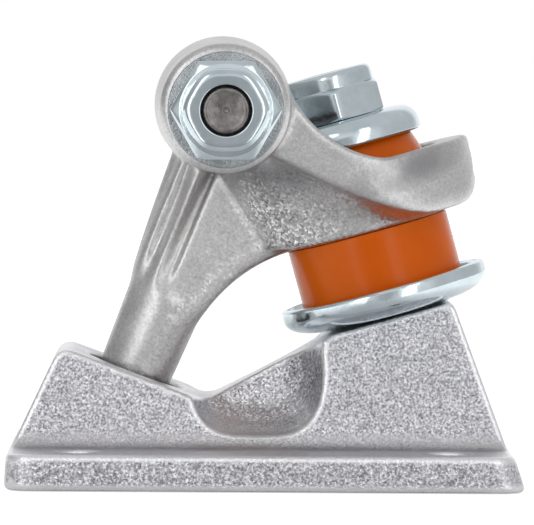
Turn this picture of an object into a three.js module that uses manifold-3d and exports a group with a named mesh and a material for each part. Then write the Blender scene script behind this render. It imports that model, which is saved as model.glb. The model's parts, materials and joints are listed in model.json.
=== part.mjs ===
// A skateboard truck: cast baseplate, cast hanger on its axle, kingpin, bushings, washers and lock nuts.
// Millimetres and degrees. +Z is up, the axle lies along Y and the pivot end of the truck faces -X.
// The origin is the middle of the baseplate's underside.

import * as THREE from 'three';
import { mergeVertices } from 'three/addons/utils/BufferGeometryUtils.js';
import Module from 'manifold-3d';

// Fits shared by the whole assembly
const seatGap = 0.3;
const cutOverrun = 2;
const steerRange = 15;

// Mounting holes, and the baseplate flange around them
const mountHolePitchLong = 53.98;
const mountHolePitchWide = 41.28;
const mountHoleDiameter = 5.6;
const mountHoleEndMargin = 10.51;
const mountHoleSideMargin = 7.36;
const flangeThickness = 5.2;
const flangeCornerRadius = 3.5;
const flangeEdgeRound = 0.35;
const flangeDraft = 0.2;
const flangeToeDraft = 1.6;

// Baseplate body with its two towers and the saddle between them
const bodyFootWidth = 29;
const bodyTopWidth = 21;
const bodyFootFillet = 1.8;
const bodyCornerRound = 2.2;
const bodyHeelInset = 0.6;
const pivotSeatInset = 18.7;
const pivotSeatHeight = 16.1;
const pivotSeatTilt = 22.3;
const pivotSeatBack = 11.8;
const pivotSeatFront = 8.6;
const pivotHeelDrop = 0.7;
const kingpinSeatInset = 18.8;
const kingpinSeatHeight = 24.2;
const kingpinTilt = 15.5;
const kingpinSeatHalfLength = 9.3;
const saddleLowAhead = 9.9;
const saddleLowHeight = 11.6;
const saddleRound = 2.6;
const towerLipRun = 1.2;
const towerLipDrop = 1;
const scoopFloorRise = 1.5;
const scoopHeight = 28.8;
const scoopDepth = 14.5;
const scoopBackShift = 0.6;
const scoopMouthOut = 2.8;

// Pivot cup and the hanger's nose that turns in it
const pivotCupDiameter = 15;
const pivotCupRecess = 0.8;
const pivotCupFloor = 1.5;
const pivotBallDepth = 6.4;
const noseRadius = 4.2;
const stemMouthRadius = 5.45;
const stemRadius = 5.85;
const stemTaperLength = 11.5;

// Kingpin
const kingpinDiameter = 9.53;
const kingpinGrip = 16;
const kingpinHeadAcrossFlats = 14.29;
const kingpinHeadHeight = 5.8;
const kingpinNeckDiameter = 10.3;
const kingpinNeckLength = 6;
const threadChamfer = 1;
const endRecess = 0.4;

// Cup washers, pressed from sheet
const bottomWasherDiameter = 31.1;
const bottomWasherFlat = 10.2;
const bottomWasherHeight = 4.3;
const bottomWasherSheet = 1.9;
const topWasherDiameter = 23.5;
const topWasherFlat = 8.8;
const topWasherHeight = 4.1;
const topWasherSheet = 1.8;

// Bushings
const bottomBushingDiameter = 24.2;
const bottomBushingHeight = 10.2;
const topBushingBaseDiameter = 24.2;
const topBushingTopDiameter = 18.4;
const topBushingHeight = 7.4;
const bushingEdgeRound = 0.4;
const bushingBore = 10.4;

// Kingpin lock nut
const kingpinNutAcrossFlats = 14.29;
const kingpinNutHexHeight = 4.5;
const kingpinNutCrownDiameter = 13;
const kingpinNutCrownHeight = 2.5;

// Hanger ring around the kingpin
const ringDiameter = 35.8;
const ringPlate = 7;
const ringRim = 3.05;
const ringHole = 15.4;
const ringBossDiameter = 24.6;
const ringBossProud = 0.5;
const ringCupClearance = 0.4;
const bandFootLean = 0.35;
const bandFootHeight = 1.8;
const washerWellClearance = 1.1;

// Hanger barrel, web and trunk
const axleOffset = -6.35;
const axleHeight = 55.4;
const barrelLength = 139.7;
const barrelEndDiameter = 17.6;
const barrelMidDiameter = 19.8;
const barrelEndChamfer = 0.8;
const barrelMidHalf = 19;
const barrelTaperEnd = 44;
const webThickness = 10.4;
const webEdgeInset = 0.2;
const webBack = 0.4;
const webEndRadius = 4.9;
const webSpread = 29.6;
const ribWidth = 10.7;
const ribDepth = 3.4;
const ribEdgeRound = 1.2;
const flankFootEnd = 15.7;
const flankTopEnd = 19.6;
const flankFootRise = 0.15;
const flankLap = 1.5;
const trunkCoreRadius = 3.6;
const trunkRidgeBack = 2.75;
const trunkRimBack = 5.5;
const trunkRidgeHalf = 1.3;
const trunkFlareWidth = 44;
const trunkFlareDepth = 9;

// Axle, speed washers and axle lock nuts
const axleLength = 203;
const axleDiameter = 7.94;
const axleNutAcrossFlats = 12.7;
const axleNutHexHeight = 5.6;
const axleNutCrownDiameter = 11.2;
const axleNutCrownHeight = 2.6;
const speedWasherDiameter = 15.2;
const speedWasherBore = 8.5;
const speedWasherThickness = 1;

// Nylon rings held in the crowns of the lock nuts
const insertThickness = 1.5;
const insertWall = 0.75;
const nutLip = 0.5;

const wasm = await Module();
wasm.setup();

const degrees = Math.PI / 180;

// Places that follow from the mounting holes
const baseLength = mountHolePitchLong + 2 * mountHoleEndMargin;
const baseWidth = mountHolePitchWide + 2 * mountHoleSideMargin;
const pivotSeatOffset = pivotSeatInset - baseLength / 2;
const kingpinSeatOffset = baseLength / 2 - kingpinSeatInset;

// Solids and geometry

function solidOf(geometry) {
  const bare = geometry.clone();
  bare.deleteAttribute('normal');
  bare.deleteAttribute('uv');
  const merged = mergeVertices(bare);
  const index = merged.index.array;
  const triangles = [];
  for (let i = 0; i < index.length; i += 3) {
    const [a, b, c] = [index[i], index[i + 1], index[i + 2]];
    if (a !== b && b !== c && c !== a) triangles.push(a, b, c);
  }
  return new wasm.Manifold(new wasm.Mesh({
    numProp: 3,
    vertProperties: new Float32Array(merged.attributes.position.array),
    triVerts: new Uint32Array(triangles),
  }));
}

function geometryOf(solid) {
  const mesh = solid.getMesh();
  const geometry = new THREE.BufferGeometry();
  geometry.setAttribute('position', new THREE.BufferAttribute(new Float32Array(mesh.vertProperties), 3));
  geometry.setIndex(new THREE.BufferAttribute(new Uint32Array(mesh.triVerts), 1));
  const faceted = geometry.toNonIndexed();
  faceted.computeVertexNormals();
  return faceted;
}

function union(solids) {
  return solids.reduce((whole, next) => whole.add(next));
}

// A profile of [radius, height] pairs turned about Z, outer side listed upwards
function revolved(profile, segments = 48) {
  const points = profile.map(([radius, height]) => new THREE.Vector2(radius, height));
  return new THREE.LatheGeometry(points, segments).rotateX(Math.PI / 2);
}

function rod(radius, bottom, top, segments = 32) {
  return revolved([[0, bottom], [radius, bottom], [radius, top], [0, top]], segments);
}

function hexagonRod(acrossFlats, bottom, top) {
  const cornerRadius = acrossFlats / Math.sqrt(3);
  const geometry = new THREE.CylinderGeometry(cornerRadius, cornerRadius, top - bottom, 6);
  return geometry.rotateX(Math.PI / 2).translate(0, 0, (bottom + top) / 2);
}

// An outline in X and Z, given thickness along Y about the middle plane
function slab(shape, thickness, edgeRound = 0, divisions = 8) {
  const geometry = new THREE.ExtrudeGeometry(shape, {
    depth: thickness - 2 * edgeRound,
    bevelEnabled: edgeRound > 0,
    bevelThickness: edgeRound,
    bevelSize: edgeRound,
    bevelOffset: -edgeRound,
    bevelSegments: 2,
    curveSegments: divisions,
  });
  return geometry.translate(0, 0, edgeRound - thickness / 2).rotateX(Math.PI / 2);
}

// An outline in X and Y, extruded up Z
function column(shape, bottom, top, divisions = 12) {
  const options = { depth: top - bottom, bevelEnabled: false, curveSegments: divisions };
  return new THREE.ExtrudeGeometry(shape, options).translate(0, 0, bottom);
}

// A skin through rings of equal count, listed upwards and each counterclockwise from above
function loft(rings) {
  const count = rings[0].length;
  const centres = [rings[0], rings[rings.length - 1]].map((ring) => {
    const sum = ring.reduce((total, point) => total.add(point), new THREE.Vector3());
    return sum.divideScalar(count);
  });
  const vertices = [...rings.flat(), ...centres].flatMap((point) => point.toArray());
  const [bottomCentre, topCentre] = [rings.length * count, rings.length * count + 1];
  const lastRing = (rings.length - 1) * count;
  const index = [];
  for (let i = 0; i < count; i += 1) {
    const next = (i + 1) % count;
    for (let ring = 0; ring < rings.length - 1; ring += 1) {
      const [low, high] = [ring * count, (ring + 1) * count];
      index.push(low + i, low + next, high + next, low + i, high + next, high + i);
    }
    index.push(bottomCentre, next, i, topCentre, lastRing + i, lastRing + next);
  }
  const geometry = new THREE.BufferGeometry();
  geometry.setAttribute('position', new THREE.Float32BufferAttribute(vertices, 3));
  geometry.setIndex(index);
  return geometry;
}

// A closed shape whose corners, listed as [x, y, round], are eased by quadratic curves
function easedShape(corners) {
  const shape = new THREE.Shape();
  corners.forEach(([x, y, round], i) => {
    const corner = new THREE.Vector2(x, y);
    const before = new THREE.Vector2(...corners.at(i - 1));
    const after = new THREE.Vector2(...corners[(i + 1) % corners.length]);
    const entry = corner.clone().add(before.sub(corner).setLength(round));
    const exit = corner.clone().add(after.sub(corner).setLength(round));
    if (i === 0) shape.moveTo(entry.x, entry.y);
    else shape.lineTo(entry.x, entry.y);
    if (round > 0) shape.quadraticCurveTo(x, y, exit.x, exit.y);
  });
  return shape;
}

// A long hole's outline: two half circles, spread along Y
function stadium(radius, spread) {
  const shape = new THREE.Shape();
  shape.absarc(0, spread, radius, 0, Math.PI);
  shape.absarc(0, -spread, radius, Math.PI, 2 * Math.PI);
  return shape;
}

// Frames: the kingpin's, the pivot's and the axle's

function frameAt(x, z, tilt) {
  const frame = new THREE.Matrix4().makeRotationY(tilt * degrees);
  return frame.setPosition(x, 0, z);
}

const kingpinFrame = frameAt(kingpinSeatOffset, kingpinSeatHeight, -kingpinTilt);
const pivotFrame = frameAt(pivotSeatOffset, pivotSeatHeight, pivotSeatTilt);
const barrelFrame = new THREE.Matrix4().makeRotationX(-Math.PI / 2).setPosition(axleOffset, 0, axleHeight);

function placed(geometry, frame) {
  return solidOf(geometry.clone().applyMatrix4(frame));
}

// A point of a frame's own X and Z, read in the truck's X and Z
function pointIn(frame, x, z) {
  const point = new THREE.Vector3(x, 0, z).applyMatrix4(frame);
  return [point.x, point.z];
}

// Heights up the kingpin, from its seat on the baseplate
const bottomWasherBase = seatGap;
const bottomBushingBase = bottomWasherBase + bottomWasherSheet + seatGap;
const ringBottom = bottomBushingBase + bottomBushingHeight + seatGap;
const ringSeat = ringBottom + ringPlate;
const ringTop = ringSeat + ringRim;
const ringCentre = (ringBottom + ringTop) / 2;
const topBushingBase = ringSeat + seatGap;
const topWasherTop = topBushingBase + topBushingHeight + seatGap + topWasherSheet;
const kingpinNutBase = topWasherTop + seatGap;
const kingpinNutTop = kingpinNutBase + kingpinNutHexHeight + kingpinNutCrownHeight;

// The hanger turns on the line from the ball in the pivot cup to the middle of the ring
const pivotBall = new THREE.Vector2(...pointIn(pivotFrame, 0, -pivotBallDepth));
const ringMiddle = new THREE.Vector2(...pointIn(kingpinFrame, 0, ringCentre));
const steerAxis = ringMiddle.clone().sub(pivotBall).normalize();
const steerAngle = steerRange * degrees;

// How far a point up the kingpin is passed by the turning hanger, sideways
function kingpinSwing(height) {
  const kingpinLean = Math.PI / 2 + kingpinTilt * degrees - steerAxis.angle();
  return Math.abs(height - ringCentre) * Math.sin(kingpinLean) * Math.sin(steerAngle);
}

// How far the hanger's stem swings at the mouth of the pivot cup
function stemSwing() {
  const stemLean = Math.PI / 2 - pivotSeatTilt * degrees - steerAxis.angle();
  const turn = 2 * Math.asin(Math.abs(Math.sin(stemLean)) * Math.sin(steerAngle / 2));
  return (pivotBallDepth + seatGap) * Math.sin(turn);
}

// Axle centre, as the kingpin's frame and the pivot's frame see it
function seenFrom(frame, x, z) {
  const point = new THREE.Vector3(x, 0, z).applyMatrix4(frame.clone().invert());
  return new THREE.Vector2(point.x, point.z);
}

const axleByKingpin = seenFrom(kingpinFrame, axleOffset, axleHeight);
const axleByPivot = seenFrom(pivotFrame, axleOffset, axleHeight);

// Baseplate

function roundedRectangle(left, right, halfWidth, radius, height, perCorner = 5) {
  const ring = [];
  const corners = [[right, halfWidth], [left, halfWidth], [left, -halfWidth], [right, -halfWidth]];
  corners.forEach(([x, y], quarter) => {
    const centreX = x - Math.sign(x) * radius;
    const centreY = y - Math.sign(y) * radius;
    for (let step = 0; step <= perCorner; step += 1) {
      const angle = (quarter + step / perCorner) * Math.PI / 2;
      ring.push(new THREE.Vector3(
        centreX + radius * Math.cos(angle), centreY + radius * Math.sin(angle), height));
    }
  });
  return ring;
}

function flange() {
  const rings = [
    [0, flangeEdgeRound],
    [flangeEdgeRound, 0],
    [flangeThickness - flangeEdgeRound, 0],
    [flangeThickness, flangeEdgeRound],
  ].map(([height, easing]) => {
    const rise = Math.max(0, height - flangeEdgeRound) / (flangeThickness - flangeEdgeRound);
    return roundedRectangle(
      -baseLength / 2 + flangeDraft * rise + easing,
      baseLength / 2 - flangeToeDraft * rise - easing,
      baseWidth / 2 - flangeDraft * rise - easing,
      flangeCornerRadius - easing,
      height,
    );
  });
  return solidOf(loft(rings));
}

function bodySideShape() {
  const foot = flangeThickness / 2;
  const pivotBack = pointIn(pivotFrame, -pivotSeatBack, -pivotHeelDrop);
  const pivotFront = pointIn(pivotFrame, pivotSeatFront, 0);
  const kingpinBack = pointIn(kingpinFrame, -kingpinSeatHalfLength, 0);
  const kingpinFront = pointIn(kingpinFrame, kingpinSeatHalfLength, 0);
  const heel = bodyHeelInset - baseLength / 2;
  const toe = baseLength / 2 - flangeToeDraft - flangeEdgeRound;
  return easedShape([
    [heel, foot, 0],
    [heel, flangeThickness, 0],
    [...pivotBack, bodyCornerRound],
    [...pivotFront, saddleRound / 2],
    [pivotSeatOffset + saddleLowAhead, saddleLowHeight, saddleRound],
    [kingpinBack[0] - towerLipRun, kingpinBack[1] - towerLipDrop, towerLipRun],
    [...kingpinBack, bodyCornerRound / 2],
    [...kingpinFront, bodyCornerRound / 2],
    [toe, flangeThickness, 0],
    [toe, foot, 0],
  ]);
}

// The body seen from its end: leaning sides with a fillet at the foot
function bodyEndShape() {
  const top = kingpinSeatHeight + kingpinSeatHalfLength;
  const shape = new THREE.Shape();
  const lean = (bodyFootWidth - bodyTopWidth) / 2 / (kingpinSeatHeight - flangeThickness);
  const halfAt = (height) => bodyFootWidth / 2 - lean * (height - flangeThickness);
  const filletTop = flangeThickness + bodyFootFillet;
  const filletFoot = bodyFootWidth / 2 + bodyFootFillet;
  shape.moveTo(filletFoot, flangeThickness / 2);
  shape.lineTo(filletFoot, flangeThickness);
  shape.quadraticCurveTo(halfAt(flangeThickness), flangeThickness, halfAt(filletTop), filletTop);
  shape.lineTo(halfAt(top), top);
  shape.lineTo(-halfAt(top), top);
  shape.lineTo(-halfAt(filletTop), filletTop);
  shape.quadraticCurveTo(-halfAt(flangeThickness), flangeThickness, -filletFoot, flangeThickness);
  shape.lineTo(-filletFoot, flangeThickness / 2);
  return shape;
}

// One bowl in each side of the saddle, boxy at its mouth and rounded at its depth
function saddleScoop(turn) {
  const [left] = pointIn(pivotFrame, pivotSeatFront, 0);
  const [right] = pointIn(kingpinFrame, -kingpinSeatHalfLength, 0);
  const mouth = bodyFootWidth / 2 + scoopMouthOut;
  const boxiness = 3.4;
  const squared = (share) => Math.sign(share) * Math.abs(share) ** (2 / boxiness);
  const count = 36;
  const rings = [0.04, 0.25, 0.5, 0.7, 0.85, 0.96, 1].map((share) => {
    const depth = scoopDepth * (1 - share ** 2.4) ** (1 / 2.4);
    return Array.from({ length: count }, (_, i) => {
      const angle = i / count * 2 * Math.PI;
      return new THREE.Vector3(
        -share * (right - left) / 2 * squared(Math.cos(angle)),
        mouth - depth,
        share * scoopHeight / 2 * squared(Math.sin(angle)),
      );
    });
  });
  const height = flangeThickness + scoopFloorRise + scoopHeight / 2;
  const bowl = loft(rings).rotateZ(turn);
  return solidOf(bowl.translate((left + right) / 2 - scoopBackShift, 0, height));
}

function mountHoles() {
  const signs = [[1, 1], [1, -1], [-1, 1], [-1, -1]];
  return union(signs.map(([alongX, alongY]) => {
    const hole = rod(mountHoleDiameter / 2, -cutOverrun, flangeThickness + cutOverrun, 24);
    return solidOf(hole.translate(alongX * mountHolePitchLong / 2, alongY * mountHolePitchWide / 2, 0));
  }));
}

function pivotBoreDepth() {
  return pivotBallDepth + noseRadius + seatGap + pivotCupFloor + seatGap;
}

function kingpinBores() {
  const reach = kingpinSeatHeight / Math.cos(kingpinTilt * degrees);
  const headPocket = hexagonRod(kingpinHeadAcrossFlats + 2 * seatGap, -reach - cutOverrun, -kingpinGrip);
  const shaftBore = rod(kingpinDiameter / 2 + seatGap, -reach, cutOverrun);
  const neckBore = rod(kingpinNeckDiameter / 2 + seatGap, -reach, kingpinNeckLength + seatGap - kingpinGrip);
  return union([headPocket, shaftBore, neckBore].map((cut) => placed(cut, kingpinFrame)));
}

function baseplateSolid() {
  const side = solidOf(slab(bodySideShape(), baseWidth, 0, 6));
  const end = solidOf(slab(bodyEndShape(), baseLength, 0, 4).rotateZ(Math.PI / 2));
  const pivotBore = rod(pivotCupDiameter / 2 + seatGap, -pivotBoreDepth(), cutOverrun, 40);
  return flange()
    .add(side.intersect(end))
    .subtract(saddleScoop(0))
    .subtract(saddleScoop(Math.PI))
    .subtract(mountHoles())
    .subtract(placed(pivotBore, pivotFrame))
    .subtract(kingpinBores());
}

// Pivot cup, turned about the pivot's axis with its mouth at the seat

function pivotCup() {
  const floor = -pivotBoreDepth() + seatGap;
  const socket = noseRadius + seatGap;
  const mouth = stemMouthRadius + stemSwing() + seatGap;
  const rim = -pivotCupRecess;
  const profile = [[0, floor], [pivotCupDiameter / 2, floor], [pivotCupDiameter / 2, rim], [mouth, rim]];
  const steps = 6;
  for (let step = 0; step <= steps; step += 1) {
    const angle = step / steps * Math.PI / 2;
    profile.push([socket * Math.cos(angle), -pivotBallDepth - socket * Math.sin(angle)]);
  }
  return revolved(profile, 40);
}

// Kingpin, turned about its own axis with the seat on the baseplate at zero

function kingpinSolid() {
  const top = kingpinNutTop - endRecess;
  const radius = kingpinDiameter / 2;
  const neck = kingpinNeckDiameter / 2;
  const shaft = revolved([
    [0, -kingpinGrip - kingpinHeadHeight / 2],
    [neck, -kingpinGrip - kingpinHeadHeight / 2],
    [neck, kingpinNeckLength - kingpinGrip],
    [radius, kingpinNeckLength - kingpinGrip + (neck - radius)],
    [radius, top - threadChamfer],
    [radius - threadChamfer, top],
    [0, top],
  ], 32);
  const head = hexagonRod(
    kingpinHeadAcrossFlats, -kingpinGrip - seatGap - kingpinHeadHeight, -kingpinGrip - seatGap);
  return solidOf(shaft).add(solidOf(head));
}

// Cup washers: a flat floor and a dished rim, in sheet of even thickness

function cupWasher(diameter, flat, height, sheet, bore) {
  const rim = diameter / 2;
  const rise = height - sheet;
  const shares = [0, 0.3, 0.75, 1];
  const outer = shares.map((share) => [flat + (rim - flat) * Math.sin(share * Math.PI / 2),
    height * (1 - Math.cos(share * Math.PI / 2)) * rise / height + sheet * share ** 3 / 2]);
  const inner = shares.map((share) => [flat + (rim - sheet / 2 - flat) * Math.sin(share * Math.PI / 2),
    sheet + rise * (1 - Math.cos(share * Math.PI / 2))]).reverse();
  return [[bore, 0], ...outer, [rim, height - sheet / 3], ...inner, [bore, sheet], [bore, 0]];
}

function bottomWasher() {
  const bore = kingpinDiameter / 2 + seatGap;
  const profile = cupWasher(
    bottomWasherDiameter, bottomWasherFlat, bottomWasherHeight, bottomWasherSheet, bore);
  return revolved(profile, 48).translate(0, 0, bottomWasherBase);
}

function topWasher() {
  const bore = kingpinDiameter / 2 + seatGap;
  const profile = cupWasher(topWasherDiameter, topWasherFlat, topWasherHeight, topWasherSheet, bore);
  return revolved(profile, 40).rotateX(Math.PI).translate(0, 0, topWasherTop);
}

// Bushings, with eased edges

function bushing(baseRadius, topRadius, height) {
  const bore = bushingBore / 2;
  const ease = bushingEdgeRound;
  return revolved([
    [bore, 0],
    [baseRadius - ease, 0],
    [baseRadius, ease],
    [topRadius, height - ease],
    [topRadius - ease, height],
    [bore, height],
    [bore, 0],
  ], 48);
}

// Lock nuts: a chamfered hexagon, a crown with a rolled lip, and a nylon ring under the lip

function lockNut({ acrossFlats, hexHeight, crownDiameter, crownHeight, threadDiameter }) {
  const corner = acrossFlats / Math.sqrt(3);
  const flat = acrossFlats / 2;
  const chamfer = (corner - flat) / Math.sqrt(3);
  const top = hexHeight + crownHeight;
  const crown = crownDiameter / 2;
  const bore = threadDiameter / 2 + seatGap / 2;
  const groove = insertGroove({ hexHeight, crownHeight, threadDiameter });
  const hexagon = solidOf(hexagonRod(acrossFlats, 0, hexHeight));
  const turned = solidOf(revolved([
    [0, 0],
    [flat, 0],
    [corner, chamfer],
    [corner, hexHeight - chamfer],
    [flat, hexHeight],
    [0, hexHeight],
  ], 24));
  const collar = solidOf(revolved([
    [0, hexHeight / 2],
    [crown, hexHeight / 2],
    [crown, top - crownHeight * 0.5],
    [crown - crownHeight * 0.18, top - crownHeight * 0.16],
    [crown - crownHeight * 0.42, top],
    [0, top],
  ], 30));
  const hollow = solidOf(revolved([
    [0, -cutOverrun],
    [bore, -cutOverrun],
    [bore, groove.bottom],
    [groove.radius, groove.bottom],
    [groove.radius, groove.top],
    [bore - nutLip, groove.top],
    [bore - nutLip, top + cutOverrun],
    [0, top + cutOverrun],
  ], 30));
  return hexagon.intersect(turned).add(collar).subtract(hollow);
}

function insertGroove({ hexHeight, crownHeight, threadDiameter }) {
  const top = hexHeight + crownHeight - nutLip;
  const bottom = top - insertThickness - 2 * seatGap / 3;
  return { top, bottom, radius: threadDiameter / 2 + seatGap / 2 + insertWall };
}

function nutInsert(nut) {
  const groove = insertGroove(nut);
  const inner = nut.threadDiameter / 2 + seatGap / 3;
  const outer = groove.radius - seatGap / 3;
  const bottom = groove.bottom + seatGap / 3;
  const top = groove.top - seatGap / 3;
  return revolved([[inner, bottom], [outer, bottom], [outer, top], [inner, top], [inner, bottom]], 24);
}

const kingpinNut = {
  acrossFlats: kingpinNutAcrossFlats,
  hexHeight: kingpinNutHexHeight,
  crownDiameter: kingpinNutCrownDiameter,
  crownHeight: kingpinNutCrownHeight,
  threadDiameter: kingpinDiameter,
};

const axleNut = {
  acrossFlats: axleNutAcrossFlats,
  hexHeight: axleNutHexHeight,
  crownDiameter: axleNutCrownDiameter,
  crownHeight: axleNutCrownHeight,
  threadDiameter: axleDiameter,
};

// Hanger casting

function barrel() {
  const half = barrelLength / 2;
  const end = barrelEndDiameter / 2;
  const middle = barrelMidDiameter / 2;
  const steps = 5;
  const taper = [];
  for (let step = 0; step <= steps; step += 1) {
    const share = step / steps;
    const easing = (1 - Math.cos(share * Math.PI)) / 2;
    taper.push([end + (middle - end) * easing, barrelTaperEnd - (barrelTaperEnd - barrelMidHalf) * share]);
  }
  const upper = [...taper].reverse();
  const lower = taper.map(([radius, height]) => [radius, -height]);
  return revolved([
    [0, -half],
    [end - barrelEndChamfer, -half],
    [end, barrelEndChamfer - half],
    ...lower,
    ...upper,
    [end, half - barrelEndChamfer],
    [end - barrelEndChamfer, half],
    [0, half],
  ], 60);
}

// One in the middle of its span, easing to zero at its ends
function bell(offset, half) {
  const share = Math.min(Math.abs(offset / half), 1);
  return (1 - share ** 2) ** 2;
}

// A ring of the hanger's stem: a round or oval core, and ridges on both sides with flutes between them
function stemRing(centre, halfDepth, core, ridges, height) {
  const count = 48;
  return Array.from({ length: count }, (_, i) => {
    const turn = i / count * 2 * Math.PI;
    const angle = turn + Math.sin(2 * turn) / 4;
    const rise = Math.sin(angle);
    const along = centre + halfDepth * Math.cos(angle);
    const side = Math.sign(rise) * Math.min(3 * Math.abs(rise), 1);
    const proud = ridges.reduce((sum, { place, half, out }) => sum + out * bell(along - place, half), 0);
    return new THREE.Vector3(along, core * rise + side * proud, height);
  });
}

// Nose, stem and trunk in one skin: a ball, a taper, and a stem that grows a rim at its back and a
// ridge beside the web, which spreads along the axle as it nears the barrel
function stemAndTrunk() {
  const rings = [];
  const round = (radius, height) => rings.push(stemRing(0, radius, radius, [], height));
  const ballSteps = 6;
  for (let step = 1; step <= ballSteps; step += 1) {
    const angle = step / ballSteps * Math.PI / 2;
    round(noseRadius * Math.sin(angle), -pivotBallDepth - noseRadius * Math.cos(angle));
  }
  round(stemMouthRadius, 0);
  const trunkSteps = 14;
  for (let step = 0; step <= trunkSteps; step += 1) {
    const share = step / trunkSteps;
    const height = stemTaperLength + (axleByPivot.y - stemTaperLength) * share;
    const core = trunkCoreRadius + (stemRadius - trunkCoreRadius) * (1 - share) ** 6;
    const halfDepth = stemRadius + (trunkFlareDepth / 2 - stemRadius) * share;
    const hollow = stemRadius - core;
    const flare = (trunkFlareWidth / 2 - stemRadius) * share ** 3;
    const ridgeHalf = trunkRidgeHalf + (trunkFlareDepth / 2 - trunkRidgeHalf) * share ** 4;
    const ridges = [
      { place: -trunkRidgeBack, half: ridgeHalf, out: hollow * 0.75 + flare },
      { place: -trunkRimBack, half: trunkRidgeHalf, out: hollow * 0.8 },
    ];
    rings.push(stemRing(axleByPivot.x * share ** 0.7, halfDepth, core, ridges, height));
  }
  return loft(rings);
}

// The underside of the web: a curve that leaves the ring's boss and runs into the stem
function undersideCurve() {
  const start = [ribEdgeRound - ringBossDiameter / 2, ringBottom + flankFootRise / 2];
  const boss = new THREE.Vector2(...pointIn(kingpinFrame, ...start));
  const stemEdge = new THREE.Vector2(...pointIn(pivotFrame, stemMouthRadius - seatGap, stemRadius / 2));
  const alongBoss = new THREE.Vector2(-1, 0).rotateAround(new THREE.Vector2(), kingpinTilt * degrees);
  const alongStem = new THREE.Vector2(0, 1).rotateAround(new THREE.Vector2(), -pivotSeatTilt * degrees);
  const gap = stemEdge.clone().sub(boss);
  const reach = gap.cross(alongStem) / alongBoss.cross(alongStem);
  const meeting = boss.clone().addScaledVector(alongBoss, reach);
  return new THREE.QuadraticBezierCurve(boss, meeting, stemEdge);
}

// Points beside the underside's curve, at a distance into the web
function besideUnderside(distance, steps = 14) {
  const edge = undersideCurve();
  return Array.from({ length: steps + 1 }, (_, i) => {
    const point = edge.getPoint(i / steps);
    const tangent = edge.getTangent(i / steps);
    return new THREE.Vector2(point.x + tangent.y * distance, point.y - tangent.x * distance);
  });
}

// A flat panel from the boss to the middle of the stem and up into the barrel
function web() {
  const edge = besideUnderside(ribEdgeRound);
  const corners = [
    pointIn(pivotFrame, -webBack, stemRadius),
    pointIn(pivotFrame, -webBack, axleByPivot.y - barrelMidDiameter / 2),
    [axleOffset, axleHeight],
    pointIn(kingpinFrame, -ringBossDiameter / 4, ringTop),
    pointIn(kingpinFrame, -ringBossDiameter / 4, ringBottom + ringPlate / 2),
  ].map(([x, z]) => new THREE.Vector2(x, z));
  return slab(new THREE.Shape([...edge, ...corners]), webThickness);
}

// The web's underside edge, rounded off
function underRib() {
  const [outer, inner] = [besideUnderside(0), besideUnderside(ribDepth)];
  return slab(new THREE.Shape([...outer, ...inner.reverse()]), ribWidth, ribEdgeRound);
}

// What the web and its rib are cut back to, so that they round off into the stem above the cup
function webEnvelope() {
  const steps = 10;
  const profile = [[0, 0]];
  for (let step = 0; step <= steps; step += 1) {
    const share = step / steps;
    profile.push([webEndRadius + webSpread * share ** 2, axleByPivot.y * share]);
  }
  profile.push([0, axleByPivot.y]);
  return revolved(profile, 48);
}

// The band's lower edge, from the barrel down to the ring's front
function bandUnderCurve() {
  const boss = ringBossDiameter / 2;
  const barrelBottom = axleByKingpin.y - barrelMidDiameter / 2;
  const drop = barrelBottom - ringBottom;
  return new THREE.CubicBezierCurve(
    new THREE.Vector2(
      axleByKingpin.x + barrelMidDiameter * 0.22, barrelBottom + barrelMidDiameter * 0.08),
    new THREE.Vector2(-boss * 0.37, ringBottom + drop * 0.68),
    new THREE.Vector2(boss * 0.37, ringBottom + drop * 0.04),
    new THREE.Vector2(boss * 0.85, ringBottom + ringBossProud),
  );
}

// One ring of the flank: from its foot, a hollow curve out and up to the band's lower edge
function flankRing(foot, footHalf, edge, edgeHalf) {
  const steps = 6;
  const side = Array.from({ length: steps + 1 }, (_, step) => {
    const angle = step / steps * Math.PI / 2;
    const out = (1 - Math.cos(angle)) ** 0.7;
    const up = Math.sin(angle);
    return [
      foot.x + (edge.x - foot.x) * up,
      footHalf + (edgeHalf - footHalf) * out,
      foot.y + (edge.y - foot.y) * up,
    ];
  });
  side.push([edge.x, edgeHalf, edge.y + flankLap]);
  const far = side.map(([x, y, z]) => new THREE.Vector3(x, -y, z)).reverse();
  return [...side.map((point) => new THREE.Vector3(...point)), ...far];
}

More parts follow.
